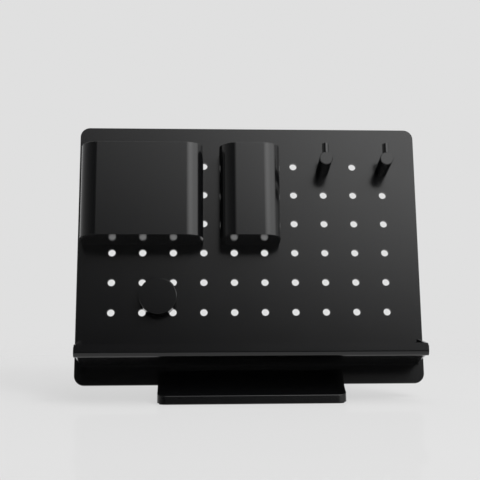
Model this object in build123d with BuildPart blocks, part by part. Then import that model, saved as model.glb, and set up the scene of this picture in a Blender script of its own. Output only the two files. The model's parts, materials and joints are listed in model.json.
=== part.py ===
"""Pegboard desk organizer: a leaning sheet-metal pegboard in a weighted base, with a
folded ledge, two D-shaped cups, two pegs and a round magnet.

Millimetres, +Z up, desk at Z = 0, front towards -Y. The origin is the middle of the
non-slip pad's underside. Places on the board are given as (u, v): u along +X, v up the
leaning board from the middle of the hole grid; heights n stand out of its front face.
"""
import os
from math import cos, radians, sin, tan

from build123d import *

# ---------------------------------------------------------------- driving dimensions
# Pegboard
PITCH = 25.4
COLUMNS = 10
ROWS = 6
HOLE_R = 3.05
BOARD_T = 3.0
SIDE_MARGIN = 28.4
TOP_MARGIN = 34.0
BOTTOM_MARGIN = 59.8
BOARD_CORNER_R = 8.0
BOARD_EDGE_CHAMFER = 0.3
LEAN = 14.7
BOARD_FOOT_Z = 12.25

# Weighted base
BASE_W = 150.0
BASE_D = 124.4
BASE_RIM_H = 5.9
BASE_CORNER_R = 6.75
BASE_EDGE_R = 1.0
FRONT_SLOPE = 16.0
FRONT_RAMP = 42.0
FRONT_SWEEP_R = 26.0
FRONT_WALL_T = 2.0
FRONT_WALL_ABOVE_FOOT = 11.0
REAR_SLOPE = 5.0
REAR_SWEEP_R = 18.0
REAR_WALL_T = 5.0
REAR_WALL_ABOVE_FOOT = 33.0
REAR_WALL_CORNER_R = 12.0
WALL_EDGE_R = 0.6
SLOT_CLEARANCE = 0.1

# Non-slip pad
PAD_T = 1.0
PAD_INSET = 1.5

# Folded ledge
LEDGE_W = 278.0
LEDGE_D = 44.5
LEDGE_T = 2.0
LEDGE_ABOVE_FOOT = 15.9
LEDGE_BEND_R = 3.5
LIP_H = 9.7
LIP_CORNER_R = 3.0
CHEEK_H = 20.6
CHEEK_REAR_R = 3.0
CHEEK_FRONT_R = 1.5
FOLD_GAP = 0.3
FLANGE_H = 16.0

# Button-head screws and nuts
SCREW_R = 2.0
SCREW_L = 10.0
SCREW_HEAD_R = 3.8
SCREW_HEAD_H = 2.2
SCREW_DOME_R = 1.5
SOCKET_R = 1.45
SOCKET_DEPTH = 1.2
SCREW_CLEARANCE = 0.15
THREAD_CLEARANCE = 0.05
SCREW_ABOVE_LEDGE = 9.0
BASE_SCREW_SPACING = 100.0
LEDGE_SCREW_SPACING = 220.0
NUT_ACROSS_FLATS = 7.0
NUT_H = 3.2

# D-shaped cups
LARGE_CUP_W = 100.6
LARGE_CUP_COLUMN = 1
LARGE_STUD_REACH = 1.0
SMALL_CUP_W = 50.4
SMALL_CUP_COLUMN = 4.5
SMALL_STUD_REACH = 0.5
CUP_D = 32.0
CUP_H = 79.6
CUP_TOP_ABOVE_HOLES = 10.4
CUP_WALL = 1.6
CUP_FLOOR_T = 2.0
CUP_FRONT_R = 14.0
CUP_REAR_R = 2.5
CUP_RIM_CHAMFER = 0.3
FLOOR_CLEARANCE = 0.05

# Hanging studs of the cups
STUD_CLEARANCE = 0.075
STUD_BEHIND_BOARD = 4.0
STUD_TIP_CHAMFER = 0.6
RIVET_HEAD_R = 4.5
RIVET_HEAD_H = 1.0
RIVET_CHAMFER = 0.4
RIVET_CLEARANCE = 0.05

# Magnetic pegs with an upright stop pin
PEG_COLUMNS = {"left": 7, "right": 9}
PEG_R = 5.5
PEG_L = 31.0
PEG_DROP = 2.7
PEG_FRONT_CHAMFER = 0.5
PIN_R = 2.7
PIN_H = 8.9
PIN_SET_BACK = 4.6
PIN_DEPTH = 4.0
PIN_TIP_CHAMFER = 0.4
PIN_CLEARANCE = 0.03
PEG_MAGNET_R = 4.0
PEG_MAGNET_H = 4.0

# Round magnet
PUCK_R = 15.6
PUCK_H = 9.5
PUCK_U = -75.6
PUCK_V = -51.3
PUCK_CHAMFER = 0.6
PUCK_MAGNET_R = 12.5
PUCK_MAGNET_H = 4.0

# Glue line round every magnet
GLUE_GAP = 0.1

# ---------------------------------------------------------------- derived places
lean_sin = sin(radians(LEAN))
lean_cos = cos(radians(LEAN))

grid_w = (COLUMNS - 1) * PITCH
grid_h = (ROWS - 1) * PITCH
board_w = grid_w + 2 * SIDE_MARGIN
board_h = grid_h + TOP_MARGIN + BOTTOM_MARGIN
board_centre_v = (TOP_MARGIN - BOTTOM_MARGIN) / 2
top_row_v = grid_h / 2
foot_v = -grid_h / 2 - BOTTOM_MARGIN

OUTWARD = Vector(0, -lean_cos, lean_sin)
UPWARD = Vector(0, lean_sin, lean_cos)
GRID_CENTRE = Vector(0, 0, BOARD_FOOT_Z - foot_v * lean_cos)

# Looking at the board's front, at its side (back, v) and down onto a cup (u, back)
BOARD = Plane(origin=GRID_CENTRE, x_dir=(1, 0, 0), z_dir=OUTWARD)
SIDE = Plane(origin=GRID_CENTRE, x_dir=-OUTWARD, z_dir=(1, 0, 0))
SHELF = Plane(origin=GRID_CENTRE, x_dir=(1, 0, 0), z_dir=UPWARD)
OUT_AXIS = Axis(GRID_CENTRE, OUTWARD)
UP_AXIS = Axis(GRID_CENTRE, UPWARD)

ledge_v = foot_v + LEDGE_ABOVE_FOOT
screw_v = ledge_v + SCREW_ABOVE_LEDGE
front_wall_v = foot_v + FRONT_WALL_ABOVE_FOOT
rear_wall_v = foot_v + REAR_WALL_ABOVE_FOOT
rear_wall_back = BOARD_T + SLOT_CLEARANCE + REAR_WALL_T
base_screws_at = [(side * BASE_SCREW_SPACING / 2, screw_v) for side in (-1, 1)]
ledge_screws_at = [(side * LEDGE_SCREW_SPACING / 2, screw_v) for side in (-1, 1)]

cup_top_v = top_row_v + CUP_TOP_ABOVE_HOLES
cup_bottom_v = cup_top_v - CUP_H
stud_r = HOLE_R - STUD_CLEARANCE
peg_v = top_row_v - PEG_DROP


def column_u(column):
    """u of a hole column, counted from 0 at the left; halves lie between columns."""
    return (column - (COLUMNS - 1) / 2) * PITCH


def side_point(back, v):
    """(Y, Z) of a point `back` behind the board's front face at height v."""
    point = SIDE.from_local_coords((back, v, 0))
    return (point.Y, point.Z)


def meeting_point(first, first_angle, second, second_angle):
    """Where two lines in the (Y, Z) plane, given by a point and a slope, cross."""
    first_slope = tan(radians(first_angle))
    second_slope = tan(radians(second_angle))
    rise = second[1] - first[1] + first_slope * first[0] - second_slope * second[0]
    y = rise / (first_slope - second_slope)
    return (y, first[1] + first_slope * (y - first[0]))


def save(part, label):
    """Label a finished piece and write it as its own STEP file."""
    part.label = label
    export_step(part, f"parts/{label}.step")


os.makedirs("parts", exist_ok=True)


# ---------------------------------------------------------------- weighted base
def base_outline():
    """Corners of the base's side profile in (Y, Z), each with its radius."""
    rim_lean = BASE_RIM_H * tan(radians(LEAN))
    rim_top = PAD_T + BASE_RIM_H
    front_rim = (-BASE_D / 2 + rim_lean, rim_top)
    rear_rim = (BASE_D / 2 - rim_lean, rim_top)
    front_wall = side_point(-FRONT_WALL_T, front_wall_v)
    rear_wall = side_point(rear_wall_back, rear_wall_v)
    ramp_foot = meeting_point(front_rim, FRONT_SLOPE, front_wall, FRONT_RAMP)
    rear_foot = meeting_point(rear_wall, 90 - LEAN, rear_rim, -REAR_SLOPE)
    return [
        ((-BASE_D / 2, PAD_T), 0),
        (front_rim, 0),
        (ramp_foot, FRONT_SWEEP_R),
        (front_wall, 0),
        (side_point(-SLOT_CLEARANCE, front_wall_v), 0),
        (side_point(-SLOT_CLEARANCE, foot_v), 0),
        (side_point(BOARD_T + SLOT_CLEARANCE, foot_v), 0),
        (side_point(BOARD_T + SLOT_CLEARANCE, rear_wall_v), WALL_EDGE_R),
        (rear_wall, WALL_EDGE_R),
        (rear_foot, REAR_SWEEP_R),
        (rear_rim, 0),
        ((BASE_D / 2, PAD_T), 0),
    ]


with BuildPart() as base_casting:
    with BuildSketch(Plane.YZ):
        with BuildLine():
            corners, radii = zip(*base_outline())
            FilletPolyline(*corners, radius=radii, close=True)
        make_face()
    extrude(amount=BASE_W / 2, both=True)

    # The upright corners, which lean back with the front and rear faces
    leaning_back = base_casting.edges().filter_by(Axis((0, 0, 0), UPWARD))
    leaning_forward = base_casting.edges().filter_by(Axis((0, 0, 0), (0, -lean_sin, lean_cos)))
    fillet(leaning_back.sort_by(Axis.Y)[:2] + leaning_forward, BASE_CORNER_R)

    # The rim all round the top of the front and rear slopes
    upper_faces = base_casting.faces().filter_by(lambda face: face.normal_at().Z > lean_cos / 2)
    rim_edges = upper_faces.edges().filter_by(lambda edge: edge.center().Z > PAD_T)
    outer_rim = rim_edges.filter_by(
        lambda edge: abs(edge.center().X) > BASE_W / 2 - BASE_CORNER_R
        or abs(edge.center().Y) > BASE_D / 2 - BASE_RIM_H
    )
    fillet(outer_rim, BASE_EDGE_R)

    # Round the rear wall's upper corners
    with BuildSketch(BOARD.offset(-BOARD_T)):
        with Locations((0, rear_wall_v - REAR_WALL_CORNER_R)):
            Rectangle(BASE_W, 2 * REAR_WALL_CORNER_R)
        with Locations((0, rear_wall_v - 1.5 * REAR_WALL_CORNER_R)):
            RectangleRounded(
                BASE_W, 3 * REAR_WALL_CORNER_R, REAR_WALL_CORNER_R, mode=Mode.SUBTRACT
            )
    extrude(amount=-2 * REAR_WALL_T, mode=Mode.SUBTRACT)

    # Threaded holes that take the two long screws
    with BuildSketch(BOARD.offset(-BOARD_T)):
        with Locations(*base_screws_at):
            Circle(SCREW_R + THREAD_CLEARANCE)
    extrude(amount=-2 * REAR_WALL_T, mode=Mode.SUBTRACT)
save(base_casting.part, "base_casting")

with BuildPart() as base_pad:
    with BuildSketch():
        RectangleRounded(
            BASE_W - 2 * PAD_INSET, BASE_D - 2 * PAD_INSET, BASE_CORNER_R - PAD_INSET
        )
    extrude(amount=PAD_T)
save(base_pad.part, "base_pad")


# ---------------------------------------------------------------- pegboard
with BuildPart() as board_panel:
    with BuildSketch(BOARD.offset(-BOARD_T)):
        with Locations((0, board_centre_v)):
            RectangleRounded(board_w, board_h, BOARD_CORNER_R)
        with GridLocations(PITCH, PITCH, COLUMNS, ROWS):
            Circle(HOLE_R, mode=Mode.SUBTRACT)
        with Locations(*base_screws_at, *ledge_screws_at):
            Circle(SCREW_R + SCREW_CLEARANCE, mode=Mode.SUBTRACT)
    extrude(amount=BOARD_T)
    board_faces = board_panel.faces().filter_by(OUT_AXIS)
    chamfer(
        [edge for face in board_faces for edge in face.outer_wire().edges()],
        BOARD_EDGE_CHAMFER,
    )
save(board_panel.part, "board_panel")


# ---------------------------------------------------------------- folded ledge
half_t = LEDGE_T / 2
fold_r = LEDGE_BEND_R - half_t
flange_top_v = ledge_v + FLANGE_H
lip_top_v = ledge_v + LIP_H
cheek_rear = LEDGE_T + FOLD_GAP
cheek_front = LEDGE_D - LEDGE_T - FOLD_GAP

with BuildPart() as floor_and_cheeks:
    # Floor with both ends folded up, seen from the front
    with BuildSketch(BOARD.offset(cheek_rear)):
        with BuildLine():
            side_u = LEDGE_W / 2 - half_t
            floor_line = FilletPolyline(
                (-side_u, ledge_v + CHEEK_H),
                (-side_u, ledge_v + half_t),
                (side_u, ledge_v + half_t),
                (side_u, ledge_v + CHEEK_H),
                radius=fold_r,
            )
        trace(floor_line, LEDGE_T)
    extrude(amount=cheek_front - cheek_rear)

    # Cut to the cheeks' side shape, with corner reliefs at the lip and the flange
    with BuildSketch(SIDE):
        with BuildLine():
            FilletPolyline(
                (-LEDGE_BEND_R, ledge_v),
                (-LEDGE_D + LEDGE_BEND_R, ledge_v),
                (-LEDGE_D + LEDGE_BEND_R, ledge_v + LEDGE_BEND_R),
                (-cheek_front, ledge_v + LEDGE_BEND_R),
                (-cheek_front, lip_top_v),
                (-cheek_rear, ledge_v + CHEEK_H),
                (-cheek_rear, ledge_v + LEDGE_BEND_R),
                (-LEDGE_BEND_R, ledge_v + LEDGE_BEND_R),
                radius=(0, 0, 0, 0, CHEEK_FRONT_R, CHEEK_REAR_R, 0, 0),
                close=True,
            )
        make_face()
    extrude(amount=LEDGE_W, both=True, mode=Mode.INTERSECT)

with BuildPart() as ledge_tray:
    # Flange against the board and lip at the front, each with its bend
    with BuildSketch(SIDE):
        with BuildLine():
            flange_end = (-half_t, ledge_v + LEDGE_BEND_R)
            Line((-half_t, flange_top_v), flange_end)
            TangentArc(flange_end, (-LEDGE_BEND_R, ledge_v + half_t), tangent=(0, -1))
            lip_end = (-LEDGE_D + half_t, ledge_v + LEDGE_BEND_R)
            Line((-LEDGE_D + half_t, lip_top_v), lip_end)
            TangentArc(lip_end, (-LEDGE_D + LEDGE_BEND_R, ledge_v + half_t), tangent=(0, -1))
        trace(line_width=LEDGE_T)
    extrude(amount=LEDGE_W / 2, both=True)
    corner_edges = ledge_tray.edges().filter_by(OUT_AXIS)
    upper_corners = corner_edges.filter_by(
        lambda edge: BOARD.to_local_coords(edge.center()).Y > ledge_v + LEDGE_BEND_R
    )
    fillet(upper_corners, LIP_CORNER_R)
    add(floor_and_cheeks.part)
    with BuildSketch(BOARD):
        with Locations(*base_screws_at, *ledge_screws_at):
            Circle(SCREW_R + SCREW_CLEARANCE)
    extrude(amount=LEDGE_T, mode=Mode.SUBTRACT)
save(ledge_tray.part, "ledge_tray")


# ---------------------------------------------------------------- screws and nuts
def button_screws(places):
    """Button-head socket screws driven from the front through the ledge's flange."""
    with BuildPart() as screws:
        with BuildSketch(BOARD.offset(LEDGE_T)):
            with Locations(*places):
                Circle(SCREW_HEAD_R)
        extrude(amount=SCREW_HEAD_H)
        fillet(screws.edges().group_by(OUT_AXIS)[-1], SCREW_DOME_R)
        with BuildSketch(BOARD.offset(LEDGE_T)):
            with Locations(*places):
                Circle(SCREW_R)
        extrude(amount=-SCREW_L)
        with BuildSketch(BOARD.offset(LEDGE_T + SCREW_HEAD_H)):
            with Locations(*places):
                RegularPolygon(SOCKET_R, 6)
        extrude(amount=-SOCKET_DEPTH, mode=Mode.SUBTRACT)
    return screws.part


save(button_screws(base_screws_at), "base_screws")
save(button_screws(ledge_screws_at), "ledge_screws")

with BuildPart() as ledge_nuts:
    with BuildSketch(BOARD.offset(-BOARD_T)):
        with Locations(*ledge_screws_at):
            RegularPolygon(NUT_ACROSS_FLATS / 2, 6, major_radius=False)
            Circle(SCREW_R + THREAD_CLEARANCE, mode=Mode.SUBTRACT)
    extrude(amount=-NUT_H)
save(ledge_nuts.part, "ledge_nuts")


# ---------------------------------------------------------------- D-shaped cups
def cup_section(width, inset):
    """Draw a cup's D-shaped outline, flat side on the board, drawn in by `inset`."""
    with BuildSketch(mode=Mode.PRIVATE) as section:
        with Locations((0, -CUP_D / 2)):
            Rectangle(width - 2 * inset, CUP_D - 2 * inset)
        fillet(section.vertices().group_by(Axis.Y)[0], CUP_FRONT_R - inset)
        rear_r = max(CUP_REAR_R - inset, CUP_REAR_R / 4)
        fillet(section.vertices().group_by(Axis.Y)[-1], rear_r)
    return section.sketch


def cup_sleeve(width, centre_u, studs_at):
    """The cup's wall, open at the top and bottom, with holes for its studs."""
    with BuildPart() as sleeve:
        with BuildSketch(SHELF.offset(cup_bottom_v)):
            with Locations((centre_u, 0)):
                add(cup_section(width, 0))
                add(cup_section(width, CUP_WALL), mode=Mode.SUBTRACT)
        extrude(amount=CUP_H)
        chamfer(sleeve.edges().group_by(UP_AXIS)[-1], CUP_RIM_CHAMFER)
        with BuildSketch(BOARD):
            with Locations(*studs_at):
                Circle(stud_r + RIVET_CLEARANCE)
        extrude(amount=CUP_WALL, mode=Mode.SUBTRACT)
    return sleeve.part


def cup_floor(width, centre_u):
    """The flat plate that closes the cup, flush with the sleeve's lower end."""
    with BuildPart() as plate:
        with BuildSketch(SHELF.offset(cup_bottom_v)):
            with Locations((centre_u, 0)):
                add(cup_section(width, CUP_WALL + FLOOR_CLEARANCE))
        extrude(amount=CUP_FLOOR_T)
    return plate.part


def cup_studs(studs_at):
    """Studs riveted through the cup's back, which hang it in the board's top holes."""
    with BuildPart() as studs:
        with BuildSketch(BOARD.offset(CUP_WALL)):
            with Locations(*studs_at):
                Circle(RIVET_HEAD_R)
        extrude(amount=RIVET_HEAD_H)
        chamfer(studs.edges().group_by(OUT_AXIS)[-1], RIVET_CHAMFER)
        with BuildSketch(BOARD.offset(CUP_WALL)):
            with Locations(*studs_at):
                Circle(stud_r)
        extrude(amount=-(CUP_WALL + BOARD_T + STUD_BEHIND_BOARD))
        chamfer(studs.edges().group_by(OUT_AXIS)[0], STUD_TIP_CHAMFER)
    return studs.part


cups = {
    "large": (LARGE_CUP_W, LARGE_CUP_COLUMN, LARGE_STUD_REACH),
    "small": (SMALL_CUP_W, SMALL_CUP_COLUMN, SMALL_STUD_REACH),
}
for size, (width, column, reach) in cups.items():
    studs_at = [(column_u(column + side * reach), top_row_v) for side in (-1, 1)]
    save(cup_sleeve(width, column_u(column), studs_at), f"{size}_cup_sleeve")
    save(cup_floor(width, column_u(column)), f"{size}_cup_floor")
    save(cup_studs(studs_at), f"{size}_cup_studs")


# ---------------------------------------------------------------- magnetic pegs
def peg_body(centre):
    """A round bar with a magnet pocket at the back and a cross hole for its pin."""
    with BuildPart() as bar:
        with BuildSketch(BOARD):
            with Locations(centre):
                Circle(PEG_R)
        extrude(amount=PEG_L)
        chamfer(bar.edges().group_by(OUT_AXIS)[-1], PEG_FRONT_CHAMFER)
        with BuildSketch(BOARD):
            with Locations(centre):
                Circle(PEG_MAGNET_R + GLUE_GAP)
        extrude(amount=PEG_MAGNET_H, mode=Mode.SUBTRACT)
        with BuildSketch(SHELF.offset(centre[1] + PEG_R - PIN_DEPTH)):
            with Locations((centre[0], PIN_SET_BACK - PEG_L)):
                Circle(PIN_R + PIN_CLEARANCE)
        extrude(amount=2 * PIN_DEPTH, mode=Mode.SUBTRACT)
    return bar.part


def peg_pin(centre):
    """The upright pin that stops what hangs on the peg from sliding off."""
    with BuildPart() as pin:
        with BuildSketch(SHELF.offset(centre[1] + PEG_R - PIN_DEPTH)):
            with Locations((centre[0], PIN_SET_BACK - PEG_L)):
                Circle(PIN_R)
        extrude(amount=PIN_DEPTH + PIN_H)
        chamfer(pin.edges().group_by(UP_AXIS)[-1], PIN_TIP_CHAMFER)
    return pin.part


def disc_magnet(centre, radius, height):
    """A magnet that lies flush with the back of what it holds."""
    with BuildPart() as magnet:
        with BuildSketch(BOARD):
            with Locations(centre):
                Circle(radius)
        extrude(amount=height)
    return magnet.part


for side, column in PEG_COLUMNS.items():
    peg_centre = (column_u(column), peg_v)
    save(peg_body(peg_centre), f"{side}_peg_body")
    save(peg_pin(peg_centre), f"{side}_peg_pin")
    save(disc_magnet(peg_centre, PEG_MAGNET_R, PEG_MAGNET_H), f"{side}_peg_magnet")


# ---------------------------------------------------------------- round magnet
with BuildPart() as puck_body:
    with BuildSketch(BOARD):
        with Locations((PUCK_U, PUCK_V)):
            Circle(PUCK_R)
    extrude(amount=PUCK_H)
    chamfer(puck_body.edges().group_by(OUT_AXIS)[-1], PUCK_CHAMFER)
    with BuildSketch(BOARD):
        with Locations((PUCK_U, PUCK_V)):
            Circle(PUCK_MAGNET_R + GLUE_GAP)
    extrude(amount=PUCK_MAGNET_H, mode=Mode.SUBTRACT)
save(puck_body.part, "puck_body")
save(disc_magnet((PUCK_U, PUCK_V), PUCK_MAGNET_R, PUCK_MAGNET_H), "puck_magnet")
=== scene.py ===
"""Pegboard desk organizer in satin black: finishes, fine hardware, studio and camera.

Metres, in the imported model's own frame: desk at Z = 0, front towards -Y.
"""
import json
from math import cos, pi, radians, sin, sqrt

import bmesh
import bpy
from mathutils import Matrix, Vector

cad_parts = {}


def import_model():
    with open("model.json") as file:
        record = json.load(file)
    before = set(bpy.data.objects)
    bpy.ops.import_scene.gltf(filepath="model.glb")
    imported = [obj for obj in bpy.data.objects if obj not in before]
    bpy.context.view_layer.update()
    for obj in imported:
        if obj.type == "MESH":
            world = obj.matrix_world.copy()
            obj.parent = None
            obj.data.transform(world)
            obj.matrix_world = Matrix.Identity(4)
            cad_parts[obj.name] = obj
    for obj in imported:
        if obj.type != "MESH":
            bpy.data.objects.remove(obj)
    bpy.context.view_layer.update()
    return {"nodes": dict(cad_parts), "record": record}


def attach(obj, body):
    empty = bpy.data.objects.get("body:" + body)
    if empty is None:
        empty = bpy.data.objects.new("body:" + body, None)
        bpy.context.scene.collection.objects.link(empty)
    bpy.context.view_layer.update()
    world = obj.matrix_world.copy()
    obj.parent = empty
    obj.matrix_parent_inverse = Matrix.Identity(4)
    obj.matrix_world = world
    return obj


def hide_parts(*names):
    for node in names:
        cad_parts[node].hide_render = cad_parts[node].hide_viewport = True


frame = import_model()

nodes = frame["nodes"]

MM = 0.001


# ---------------------------------------------------------------- the board's place
# Places on the board are (u, v, n) in mm: across, up the lean and out of its front face
LEAN = radians(14.7)
PITCH = 25.4
BOARD_T = 3.0
FOOT_V = -123.3
FOOT_Z = 12.25
TOP_ROW_V = 2.5 * PITCH
LEDGE_T = 2.0
LEDGE_ABOVE_FOOT = 15.9
SCREW_ABOVE_LEDGE = 9.0
SCREW_V = FOOT_V + LEDGE_ABOVE_FOOT + SCREW_ABOVE_LEDGE


def on_board(u, v, n):
    """A place on the leaning board, in metres."""
    y = v * sin(LEAN) - n * cos(LEAN)
    z = FOOT_Z + (v - FOOT_V) * cos(LEAN) + n * sin(LEAN)
    return Vector((u, y, z)) * MM


# ---------------------------------------------------------------- colours
def grey(level):
    """Opaque neutral colour."""
    return (level, level, level, 1.0)


COAT_BLACK = (0.0036, 0.0037, 0.0040, 1.0)
BASE_BLACK = (0.0032, 0.0033, 0.0036, 1.0)
RUBBER_BLACK = (0.012, 0.012, 0.012, 1.0)
OXIDE_BLACK = (0.020, 0.020, 0.021, 1.0)
NICKEL = (0.56, 0.56, 0.57, 1.0)


# ---------------------------------------------------------------- building node trees
def add_node(tree, kind, inputs=(), **settings):
    """Adds a node, sets its settings, then links or fills its inputs; returns its outputs."""
    node = tree.nodes.new(kind)
    for label, value in settings.items():
        setattr(node, label, value)
    for label, value in dict(inputs).items():
        for one in value if isinstance(value, list) else [value]:
            if isinstance(one, bpy.types.NodeSocket):
                tree.links.new(one, node.inputs[label])
            else:
                node.inputs[label].default_value = one
    return node.outputs


def worked_out(tree, operation, *values):
    """A value worked out from one, two or three others."""
    return add_node(tree, "ShaderNodeMath", dict(enumerate(values)), operation=operation)[0]


def times(tree, value, factor):
    """A value multiplied by another."""
    return worked_out(tree, "MULTIPLY", value, factor)


def between(tree, value, low, high, **settings):
    """How far a value has gone from `low` to `high`, from 0 to 1."""
    inputs = {"Value": value, "From Min": low, "From Max": high}
    return add_node(tree, "ShaderNodeMapRange", inputs, **settings)["Result"]


def mixed_colour(tree, factor, first, second):
    """The first colour, or the second where the factor is 1."""
    inputs = {"Factor": factor, "A": first, "B": second}
    return add_node(tree, "ShaderNodeMix", inputs, data_type="RGBA")["Result"]


def mixed_shader(tree, factor, first, second):
    """The first shader, or the second where the factor is 1."""
    return add_node(tree, "ShaderNodeMixShader", {0: factor, 1: first, 2: second})["Shader"]


# ---------------------------------------------------------------- finishes
PEEL_HEIGHT = 0.2 * MM
PEEL_DETAIL = 3.0
CLOUD_SCALE = 35.0
CLOUD_DETAIL = 4.0
CLOUD_MEAN = 0.5


def powder_coat_group():
    """Fine orange peel of a baked powder coat: a roughness and a normal."""
    group = bpy.data.node_groups.new("powder_coat", "ShaderNodeTree")
    defaults = {"Grain size": 900.0, "Relief": 0.05, "Roughness": 0.35, "Variation": 0.06}
    for label, default in defaults.items():
        socket = group.interface.new_socket(label, in_out="INPUT", socket_type="NodeSocketFloat")
        socket.default_value = default
    group.interface.new_socket("Roughness", in_out="OUTPUT", socket_type="NodeSocketFloat")
    group.interface.new_socket("Normal", in_out="OUTPUT", socket_type="NodeSocketVector")
    coat = add_node(group, "NodeGroupInput")

    place = add_node(group, "ShaderNodeTexCoord")["Object"]
    inputs = {"Vector": place, "Scale": coat["Grain size"], "Detail": PEEL_DETAIL}
    peel = add_node(group, "ShaderNodeTexNoise", inputs)["Fac"]
    inputs = {"Height": peel, "Strength": coat["Relief"], "Distance": PEEL_HEIGHT}
    normal = add_node(group, "ShaderNodeBump", inputs)["Normal"]

    inputs = {"Vector": place, "Scale": CLOUD_SCALE, "Detail": CLOUD_DETAIL}
    cloud = add_node(group, "ShaderNodeTexNoise", inputs)["Fac"]
    centred = worked_out(group, "SUBTRACT", cloud, CLOUD_MEAN)
    roughness = worked_out(group, "MULTIPLY_ADD", centred, coat["Variation"], coat["Roughness"])
    add_node(group, "NodeGroupOutput", {"Roughness": roughness, "Normal": normal})
    return group


POWDER_COAT = powder_coat_group()


def coated(name, colour, roughness, grain=900.0, relief=0.05, variation=0.06):
    """A material with the powder coat's fine relief."""
    finish = bpy.data.materials.new(name)
    finish.use_nodes = True
    tree = finish.node_tree
    shader = tree.nodes["Principled BSDF"]
    shader.inputs["Base Color"].default_value = colour
    inputs = {"Grain size": grain, "Relief": relief, "Roughness": roughness, "Variation": variation}
    coat = add_node(tree, "ShaderNodeGroup", inputs, node_tree=POWDER_COAT)
    for label in ("Roughness", "Normal"):
        tree.links.new(coat[label], shader.inputs[label])
    return finish


board_coat = coated("board_coat", COAT_BLACK, 0.18, relief=0.04, variation=0.04)
base_coat = coated("base_coat", BASE_BLACK, 0.18, relief=0.04, variation=0.04)
cup_coat = coated("cup_coat", COAT_BLACK, 0.15, relief=0.02, variation=0.02)
pad_rubber = coated("pad_rubber", RUBBER_BLACK, 0.75, grain=1500.0, relief=0.3)
black_steel = coated("black_steel", OXIDE_BLACK, 0.35)
bright_steel = coated("bright_steel", NICKEL, 0.28, grain=1400.0)
bright_steel.node_tree.nodes["Principled BSDF"].inputs["Metallic"].default_value = 1.0

FINISH_OF_NODE = {
    "base_casting": base_coat,
    "base_pad": pad_rubber,
    "board_panel": board_coat,
    "ledge_tray": board_coat,
    "base_screws": black_steel,
    "ledge_screws": black_steel,
    "ledge_nuts": black_steel,
    "puck_body": cup_coat,
    "puck_magnet": bright_steel,
}
for size in ("large", "small"):
    FINISH_OF_NODE[f"{size}_cup_sleeve"] = cup_coat
    FINISH_OF_NODE[f"{size}_cup_floor"] = cup_coat
    FINISH_OF_NODE[f"{size}_cup_studs"] = bright_steel
for side in ("left", "right"):
    FINISH_OF_NODE[f"{side}_peg_body"] = cup_coat
    FINISH_OF_NODE[f"{side}_peg_pin"] = cup_coat
    FINISH_OF_NODE[f"{side}_peg_magnet"] = bright_steel

for name, finish in FINISH_OF_NODE.items():
    piece = nodes[name]
    piece.data.materials.clear()
    piece.data.materials.append(finish)

BODY_OF_NODE = {
    node: body for body, members in frame["record"]["behaviour"]["bodies"].items() for node in members
}


def stands_for(piece, *names):
    """The piece rides with the body of the CAD nodes that it stands for, and those nodes are hidden.
    """
    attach(piece, BODY_OF_NODE[names[0]])
    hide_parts(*names)


# ---------------------------------------------------------------- eased edges
# Width in mm of the rounding given to these pieces' sharp edges. Base, pad, board, ledge and
# peg bodies show the CAD's own edges.
EASED_EDGES = {
    "large_cup_sleeve": 0.12,
    "small_cup_sleeve": 0.12,
    "large_cup_floor": 0.12,
    "small_cup_floor": 0.12,
    "left_peg_pin": 0.15,
    "right_peg_pin": 0.15,
    "puck_body": 0.22,
    "puck_magnet": 0.30,
    "left_peg_magnet": 0.20,
    "right_peg_magnet": 0.20,
}
EASED_FROM_ANGLE = radians(28)
FLAT_WITHIN = radians(1)


def plain_mesh(name, corners, faces):
    """A mesh object from corners and faces."""
    mesh = bpy.data.meshes.new(name)
    mesh.from_pydata(corners, [], faces)
    thing = bpy.data.objects.new(name, mesh)
    bpy.context.scene.collection.objects.link(thing)
    return thing


def finished_mesh(thing):
    """Turns the object's evaluated shape into its own plain mesh, without modifiers."""
    graph = bpy.context.evaluated_depsgraph_get()
    mesh = bpy.data.meshes.new_from_object(thing.evaluated_get(graph))
    thing.modifiers.clear()
    thing.data = mesh


def eased(name, width):
    """A copy of a CAD node whose sharp edges are rounded over `width` mm; flat faces stay flat."""
    mesh = nodes[name].data.copy()
    shape = bmesh.new()
    shape.from_mesh(mesh)
    bmesh.ops.remove_doubles(shape, verts=shape.verts, dist=MM / 1000)
    bmesh.ops.dissolve_limit(shape, angle_limit=FLAT_WITHIN, verts=shape.verts, edges=shape.edges)
    for face in shape.faces:
        face.smooth = True
    shape.to_mesh(mesh)
    shape.free()
    piece = bpy.data.objects.new(f"{name}_eased", mesh)
    bpy.context.scene.collection.objects.link(piece)

    bevel = piece.modifiers.new("eased", "BEVEL")
    bevel.width = width * MM
    bevel.segments = 2
    bevel.limit_method = "ANGLE"
    bevel.angle_limit = EASED_FROM_ANGLE
    bevel.use_clamp_overlap = False
    normals = piece.modifiers.new("flat faces stay flat", "WEIGHTED_NORMAL")
    normals.keep_sharp = True
    normals.weight = 100
    finished_mesh(piece)
    return piece


for name, width in EASED_EDGES.items():
    stands_for(eased(name, width), name)


# ---------------------------------------------------------------- screws, nuts and studs
# Sizes in mm
BASE_SCREW_SPACING = 100.0
LEDGE_SCREW_SPACING = 220.0
SCREW = {
    "head_radius": 3.8, "head_height": 2.2, "socket_radius": 1.45, "socket_depth": 1.2,
    "shank_radius": 2.0, "shank_length": 10.0, "thread_pitch": 0.7,
}
NUT = {"across_flats": 7.0, "height": 3.2, "bore_radius": 2.02}
CUP_WALL = 1.6
STUD = {
    "head_radius": 4.5, "head_height": 1.0, "stud_radius": 2.975, "stud_length": 8.6,
    "tip_length": 0.6,
}
# Each cup's middle, and how far apart its studs hang
LARGE_CUP_U = -3.5 * PITCH
LARGE_STUD_SPACING = 2 * PITCH
SMALL_CUP_U = 0.0
SMALL_STUD_SPACING = PITCH

# Shares of a ball's half height at which a head is cut off flat
SCREW_CROWN = 0.93
RIVET_CROWN = 0.97
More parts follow.
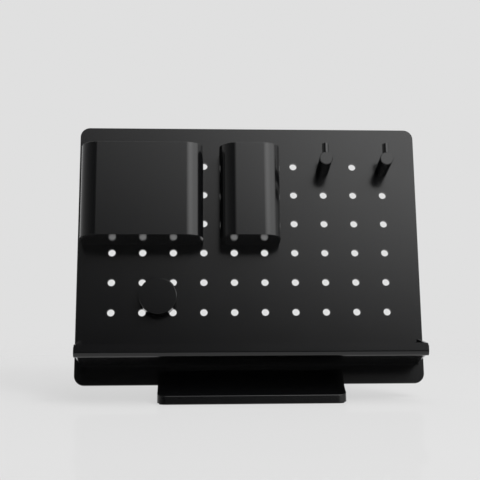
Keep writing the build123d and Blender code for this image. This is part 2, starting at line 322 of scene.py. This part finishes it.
# The ball that rounds a nut's corners, as shares of its width across flats and its height
NUT_BALL_WIDTH = 0.62
NUT_BALL_HEIGHT = 0.86
# Shares of the thread's pitch: the ridge's size, and the depth from crest to core
RIDGE_SHARE = 0.45
CORE_DEPTH_SHARE = 0.5
# A cutting bar round a head is this many times its radius
BAR_MARGIN = 1.2
ROUND_SIDES = 48
SMOOTH_WITHIN = radians(32)

PLACING = {"Spacing": "NodeSocketFloat", "Seat": "NodeSocketVector", "Tilt": "NodeSocketFloat"}


def size_tree(name, *labels):
    """An empty geometry tree with named sizes, a place, a finish and a geometry output."""
    tree = bpy.data.node_groups.new(name, "GeometryNodeTree")
    kinds = {label: "NodeSocketFloat" for label in labels} | PLACING
    kinds["Finish"] = "NodeSocketMaterial"
    for label, kind in kinds.items():
        tree.interface.new_socket(label, in_out="INPUT", socket_type=kind)
    tree.interface.new_socket("Geometry", in_out="OUTPUT", socket_type="NodeSocketGeometry")
    return tree, add_node(tree, "NodeGroupInput")


def triple(tree, x, y, z):
    """Three sizes as a vector."""
    return add_node(tree, "ShaderNodeCombineXYZ", {"X": x, "Y": y, "Z": z})[0]


def moved(tree, geometry, z):
    """The geometry, raised by z."""
    inputs = {"Geometry": geometry, "Translation": triple(tree, 0.0, 0.0, z)}
    return add_node(tree, "GeometryNodeTransform", inputs)["Geometry"]


def rod(tree, radius, length, sides=32):
    """A round or many-sided bar that stands on z = 0."""
    inputs = {"Vertices": sides, "Radius": radius, "Depth": length}
    bar = add_node(tree, "GeometryNodeMeshCylinder", inputs)["Mesh"]
    return moved(tree, bar, times(tree, length, 0.5))


def stretched_ball(tree, radius, half_height, rings):
    """A ball round the origin, stretched or pressed along z."""
    inputs = {"Segments": ROUND_SIDES, "Rings": rings, "Radius": 1.0}
    ball = add_node(tree, "GeometryNodeMeshUVSphere", inputs)["Mesh"]
    inputs = {"Geometry": ball, "Scale": triple(tree, radius, radius, half_height)}
    return add_node(tree, "GeometryNodeTransform", inputs)["Geometry"]


def shaped(tree, operation, body, *tools):
    """A closed solid left by cutting, joining or crossing closed solids."""
    inputs = {"Mesh 1": body, "Mesh 2": list(tools)}
    if operation != "DIFFERENCE":
        inputs = {"Mesh 2": [body, *tools]}
    settings = {"operation": operation, "solver": "EXACT"}
    return add_node(tree, "GeometryNodeMeshBoolean", inputs, **settings)["Mesh"]


def dome(tree, radius, height, crown):
    """A round head on z = 0, cut off flat at `height`, which is `crown` of its ball."""
    ball = stretched_ball(tree, radius, worked_out(tree, "DIVIDE", height, crown), 32)
    keep = rod(tree, times(tree, radius, BAR_MARGIN), height, 24)
    return shaped(tree, "INTERSECT", ball, keep)


def thread(tree, radius, pitch, length):
    """A helical ridge round a shank, from z = 0 up, as wide as `radius`."""
    ridge = times(tree, pitch, RIDGE_SHARE)
    winding = worked_out(tree, "SUBTRACT", radius, ridge)
    climb = worked_out(tree, "SUBTRACT", length, times(tree, ridge, 2.0))
    inputs = {
        "Resolution": 20, "Rotations": worked_out(tree, "DIVIDE", climb, pitch),
        "Start Radius": winding, "End Radius": winding, "Height": climb,
    }
    helix = add_node(tree, "GeometryNodeCurveSpiral", inputs)["Curve"]
    inputs = {"Resolution": 3, "Radius": ridge}
    profile = add_node(tree, "GeometryNodeCurvePrimitiveCircle", inputs)["Curve"]
    inputs = {"Curve": helix, "Profile Curve": profile, "Fill Caps": True}
    return moved(tree, add_node(tree, "GeometryNodeCurveToMesh", inputs)["Mesh"], ridge)


def joined(tree, *parts):
    """Several geometries as one."""
    inputs = {"Geometry": list(reversed(parts))}
    return add_node(tree, "GeometryNodeJoinGeometry", inputs)["Geometry"]


def in_pairs(tree, sizes, geometry):
    """The tree's end: two of them side by side on the board, in metres, in their finish."""
    inputs = {
        "Count": 2, "Start Location": triple(tree, times(tree, sizes["Spacing"], -0.5), 0.0, 0.0),
        "Offset": triple(tree, sizes["Spacing"], 0.0, 0.0),
    }
    line = add_node(tree, "GeometryNodeMeshLine", inputs)["Mesh"]
    inputs = {"Points": line, "Instance": geometry}
    pair = add_node(tree, "GeometryNodeInstanceOnPoints", inputs)["Instances"]
    solid = add_node(tree, "GeometryNodeRealizeInstances", {"Geometry": pair})["Geometry"]
    inputs = {
        "Geometry": solid, "Translation": sizes["Seat"], "Scale": (MM, MM, MM),
        "Rotation": triple(tree, sizes["Tilt"], 0.0, 0.0),
    }
    placed = add_node(tree, "GeometryNodeTransform", inputs)["Geometry"]
    inputs = {"Geometry": placed, "Material": sizes["Finish"]}
    dressed = add_node(tree, "GeometryNodeSetMaterial", inputs)["Geometry"]
    add_node(tree, "NodeGroupOutput", {"Geometry": dressed})


def button_screw_tree():
    """Domed socket screws with a threaded shank that points down from the seat."""
    tree, sizes = size_tree(
        "button_screws", "Head radius", "Head height", "Socket radius", "Socket depth",
        "Shank radius", "Shank length", "Thread pitch",
    )
    head = dome(tree, sizes["Head radius"], sizes["Head height"], SCREW_CROWN)
    key = rod(tree, sizes["Socket radius"], times(tree, sizes["Socket depth"], 2.0), 6)
    key = moved(tree, key, worked_out(tree, "SUBTRACT", sizes["Head height"], sizes["Socket depth"]))
    head = shaped(tree, "DIFFERENCE", head, key)
    depth = times(tree, sizes["Thread pitch"], CORE_DEPTH_SHARE)
    core = worked_out(tree, "SUBTRACT", sizes["Shank radius"], depth)
    shank = rod(tree, core, sizes["Shank length"])
    ridge = thread(tree, sizes["Shank radius"], sizes["Thread pitch"], sizes["Shank length"])
    below = times(tree, sizes["Shank length"], -1.0)
    in_pairs(tree, sizes, joined(tree, head, moved(tree, joined(tree, shank, ridge), below)))
    return tree


def hex_nut_tree():
    """Chamfered hexagon nuts that stand on the seat."""
    tree, sizes = size_tree("hex_nuts", "Across flats", "Height", "Bore radius")
    corner_r = worked_out(tree, "DIVIDE", sizes["Across flats"], sqrt(3))
    block = rod(tree, corner_r, sizes["Height"], 6)
    wide = times(tree, sizes["Across flats"], NUT_BALL_WIDTH)
    tall = times(tree, sizes["Height"], NUT_BALL_HEIGHT)
    ball = stretched_ball(tree, wide, tall, ROUND_SIDES)
    nut = shaped(tree, "INTERSECT", block, moved(tree, ball, times(tree, sizes["Height"], 0.5)))
    bore = rod(tree, sizes["Bore radius"], times(tree, sizes["Height"], 3.0))
    bore = moved(tree, bore, times(tree, sizes["Height"], -1.0))
    in_pairs(tree, sizes, shaped(tree, "DIFFERENCE", nut, bore))
    return tree


def hanging_stud_tree():
    """Riveted studs: a low round head on the seat and a plain stud with a tapered tip below."""
    tree, sizes = size_tree(
        "hanging_studs", "Head radius", "Head height", "Stud radius", "Stud length", "Tip length",
    )
    head = dome(tree, sizes["Head radius"], sizes["Head height"], RIVET_CROWN)
    straight = worked_out(tree, "SUBTRACT", sizes["Stud length"], sizes["Tip length"])
    stud = rod(tree, sizes["Stud radius"], straight, ROUND_SIDES)
    stud = moved(tree, stud, times(tree, straight, -1.0))
    narrow = worked_out(tree, "SUBTRACT", sizes["Stud radius"], sizes["Tip length"])
    inputs = {
        "Vertices": ROUND_SIDES, "Radius Top": sizes["Stud radius"], "Radius Bottom": narrow,
        "Depth": sizes["Tip length"],
    }
    tip = add_node(tree, "GeometryNodeMeshCone", inputs)["Mesh"]
    tip = moved(tree, tip, times(tree, sizes["Stud length"], -1.0))
    in_pairs(tree, sizes, shaped(tree, "UNION", head, stud, tip))
    return tree


def hardware(name, tree, finish, place, **sizes):
    """A pair of fasteners made by a tree, as a plain mesh. Sizes are in mm."""
    thing = plain_mesh(name, [(0, 0, 0)], [])
    maker = thing.modifiers.new(name, "NODES")
    maker.node_group = tree
    identifiers = {item.name: item.identifier for item in tree.interface.items_tree}
    for label, value in sizes.items():
        maker[identifiers[label.replace("_", " ").capitalize()]] = value
    maker[identifiers["Seat"]] = tuple(on_board(*place))
    maker[identifiers["Tilt"]] = pi / 2 - LEAN
    maker[identifiers["Finish"]] = finish
    finished_mesh(thing)
    thing.data.materials.clear()
    thing.data.materials.append(finish)
    shape = bmesh.new()
    shape.from_mesh(thing.data)
    bmesh.ops.remove_doubles(shape, verts=shape.verts, dist=MM / 1000)
    bmesh.ops.recalc_face_normals(shape, faces=shape.faces)
    shape.to_mesh(thing.data)
    shape.free()
    thing.data.shade_smooth()
    thing.data.set_sharp_from_angle(angle=SMOOTH_WITHIN)
    return thing


BUTTON_SCREWS = button_screw_tree()
HEX_NUTS = hex_nut_tree()
HANGING_STUDS = hanging_stud_tree()

for name, spacing in (("base_screws", BASE_SCREW_SPACING), ("ledge_screws", LEDGE_SCREW_SPACING)):
    seat = (0, SCREW_V, LEDGE_T)
    pair = hardware(f"fine_{name}", BUTTON_SCREWS, black_steel, seat, spacing=spacing, **SCREW)
    stands_for(pair, name)

seat = (0, SCREW_V, -BOARD_T - NUT["height"])
pair = hardware("fine_nuts", HEX_NUTS, black_steel, seat, spacing=LEDGE_SCREW_SPACING, **NUT)
stands_for(pair, "ledge_nuts")

for size, centre_u, spacing in (
    ("large", LARGE_CUP_U, LARGE_STUD_SPACING), ("small", SMALL_CUP_U, SMALL_STUD_SPACING),
):
    seat = (centre_u, TOP_ROW_V, CUP_WALL)
    name = f"fine_{size}_studs"
    pair = hardware(name, HANGING_STUDS, bright_steel, seat, spacing=spacing, **STUD)
    stands_for(pair, f"{size}_cup_studs")


# ---------------------------------------------------------------- studio
BACKDROP = 0.745
DESK = 0.68
DESK_GLOW = 0.73
FAR_FLOOR = 0.745

# The desk reaches this far each way, in metres, and fades out between two distances
DESK_REACH = 3.0
FADE_START = 0.30
FADE_END = 0.75
# Share of the desk's own glow that camera and mirrored rays see, and its faint gloss
DESK_WASH = 0.80
DESK_GLOSS = 0.03
DESK_GLOSS_ROUGHNESS = 0.04

# Light from in front, round the studio: (degrees to the right of straight ahead, level)
FRONT_LIGHT = (
    (-14, 0.05), (-8, 0.84), (-1, 1.10), (10, 2.35), (30, 3.20), (58, 2.40), (75, 2.60),
    (86, 2.20), (96, 0.30),
)
# How that light grows with height: (degrees above the desk, share)
HEIGHT_SHARE = ((0, 0.01), (20, 0.01), (26, 0.05), (31, 0.45), (36, 1.00), (45, 1.25), (80, 1.25))
# The panel's lower edge comes down to the right by this much per degree
PANEL_TILT = 0.22
# The direction's Y over which the front light gives way to the backdrop
BEHIND_FROM = -0.9
BEHIND_TO = 1.1
# The direction's Z at which the far floor is reached
FLOOR_FROM = -0.03

# Lamps: (name, place, target, side in metres, watts)
LAMPS = (
    ("key", (0.75, -0.95, 1.15), (0, 0, 0.05), 0.5, 12.0),
    ("top", (0.1, -0.05, 1.4), (0, 0, 0.1), 0.9, 2.0),
)


def desk():
    """A pale desk with a faint gloss that fades into the backdrop."""
    reach = DESK_REACH
    top = plain_mesh(
        "desk",
        [(-reach, -reach, 0), (reach, -reach, 0), (reach, reach, 0), (-reach, reach, 0)],
        [(0, 1, 2, 3)],
    )
    finish = bpy.data.materials.new("pale_desk")
    finish.use_nodes = True
    tree = finish.node_tree
    tree.nodes.clear()

    path = add_node(tree, "ShaderNodeLightPath")
    camera_or_glossy = worked_out(tree, "MAXIMUM", path["Is Camera Ray"], path["Is Glossy Ray"])
    seen = worked_out(tree, "MAXIMUM", camera_or_glossy, path["Is Transmission Ray"])
    matt = add_node(tree, "ShaderNodeBsdfDiffuse", {"Color": grey(DESK)})["BSDF"]
    glow = add_node(tree, "ShaderNodeEmission", {"Color": grey(DESK_GLOW)})["Emission"]
    pale = mixed_shader(tree, times(tree, seen, DESK_WASH), matt, glow)

    inputs = {"Color": grey(1.0), "Roughness": DESK_GLOSS_ROUGHNESS}
    gloss = add_node(tree, "ShaderNodeBsdfGlossy", inputs)["BSDF"]
    surface = mixed_shader(tree, DESK_GLOSS, pale, gloss)

    place = add_node(tree, "ShaderNodeTexCoord")["Object"]
    distance = add_node(tree, "ShaderNodeVectorMath", {0: place}, operation="LENGTH")["Value"]
    fade = between(tree, distance, FADE_START, FADE_END, interpolation_type="SMOOTHSTEP")
    clear = add_node(tree, "ShaderNodeBsdfTransparent")["BSDF"]
    add_node(tree, "ShaderNodeOutputMaterial", {"Surface": mixed_shader(tree, fade, surface, clear)})
    top.data.materials.append(finish)


def graded(tree, angle, stops, low, high):
    """A colour ramp over an angle in degrees, through (degrees, level) stops."""
    ramp = tree.nodes.new("ShaderNodeValToRGB")
    stretch = ramp.color_ramp.elements
    for index, (degrees, level) in enumerate(stops):
        place = (degrees - low) / (high - low)
        stop = stretch[index] if index < 2 else stretch.new(place)
        stop.position = place
        stop.color = grey(level)
    tree.links.new(between(tree, angle, radians(low), radians(high)), ramp.inputs["Fac"])
    return ramp.outputs["Color"]


def world():
    """What lights and is mirrored: a bright panel in front to the right, dark to the left, a
    pale backdrop behind and a pale floor below. The camera sees the plain backdrop."""
    sky = bpy.data.worlds.new("studio")
    bpy.context.scene.world = sky
    sky.use_nodes = True
    tree = sky.node_tree
    tree.nodes.clear()

    direction = add_node(tree, "ShaderNodeTexCoord")["Generated"]
    part = add_node(tree, "ShaderNodeSeparateXYZ", {"Vector": direction})
    turn = worked_out(tree, "ARCTAN2", part["X"], times(tree, part["Y"], -1.0))
    height = worked_out(tree, "ARCSINE", part["Z"])
    tilted = worked_out(tree, "MULTIPLY_ADD", turn, PANEL_TILT, height)
    around = graded(tree, turn, FRONT_LIGHT, -180, 180)
    rising = graded(tree, tilted, HEIGHT_SHARE, 0, 90)
    inputs = {0: around, 1: rising}
    front = add_node(tree, "ShaderNodeVectorMath", inputs, operation="MULTIPLY")["Vector"]

    behind = between(tree, part["Y"], BEHIND_FROM, BEHIND_TO)
    surroundings = mixed_colour(tree, behind, front, grey(BACKDROP))
    below = between(tree, part["Z"], 0.0, FLOOR_FROM)
    over_floor = mixed_colour(tree, below, surroundings, grey(FAR_FLOOR))

    path = add_node(tree, "ShaderNodeLightPath")
    seen = worked_out(tree, "MAXIMUM", path["Is Camera Ray"], path["Is Transmission Ray"])
    light = add_node(tree, "ShaderNodeBackground", {"Color": over_floor})["Background"]
    shown = add_node(tree, "ShaderNodeBackground", {"Color": grey(BACKDROP)})["Background"]
    add_node(tree, "ShaderNodeOutputWorld", {"Surface": mixed_shader(tree, seen, light, shown)})


def softbox(name, place, target, side, watts):
    """A square lamp at `place` that faces `target`. It isn't mirrored; only the world is."""
    lamp = bpy.data.lights.new(name, "AREA")
    lamp.shape = "RECTANGLE"
    lamp.size = side
    lamp.size_y = side
    lamp.energy = watts
    holder = bpy.data.objects.new(name, lamp)
    holder.location = place
    facing = Vector(target) - Vector(place)
    holder.rotation_euler = facing.to_track_quat("-Z", "Y").to_euler()
    holder.visible_glossy = False
    bpy.context.scene.collection.objects.link(holder)


desk()
world()
for lamp in LAMPS:
    softbox(*lamp)


# ---------------------------------------------------------------- camera
PHOTO_SIDE = 480
FOCAL_PX = 1143.2
AXIS_X_PX = 281.69
AXIS_Y_PX = 256.53
SENSOR_MM = 36.0
CAMERA_PLACE = (-0.04004, -0.96006, 0.11613)
CAMERA_TURN = radians(-4.01)

lens = bpy.data.cameras.new("camera")
lens.sensor_width = SENSOR_MM
lens.lens = SENSOR_MM * FOCAL_PX / PHOTO_SIDE
lens.shift_x = -(AXIS_X_PX - PHOTO_SIDE / 2) / PHOTO_SIDE
lens.shift_y = (AXIS_Y_PX - PHOTO_SIDE / 2) / PHOTO_SIDE
camera = bpy.data.objects.new("camera", lens)
camera.location = CAMERA_PLACE
camera.rotation_euler = (pi / 2, 0, CAMERA_TURN)
bpy.context.scene.collection.objects.link(camera)
bpy.context.scene.camera = camera

bpy.context.scene.view_settings.view_transform = "Standard"
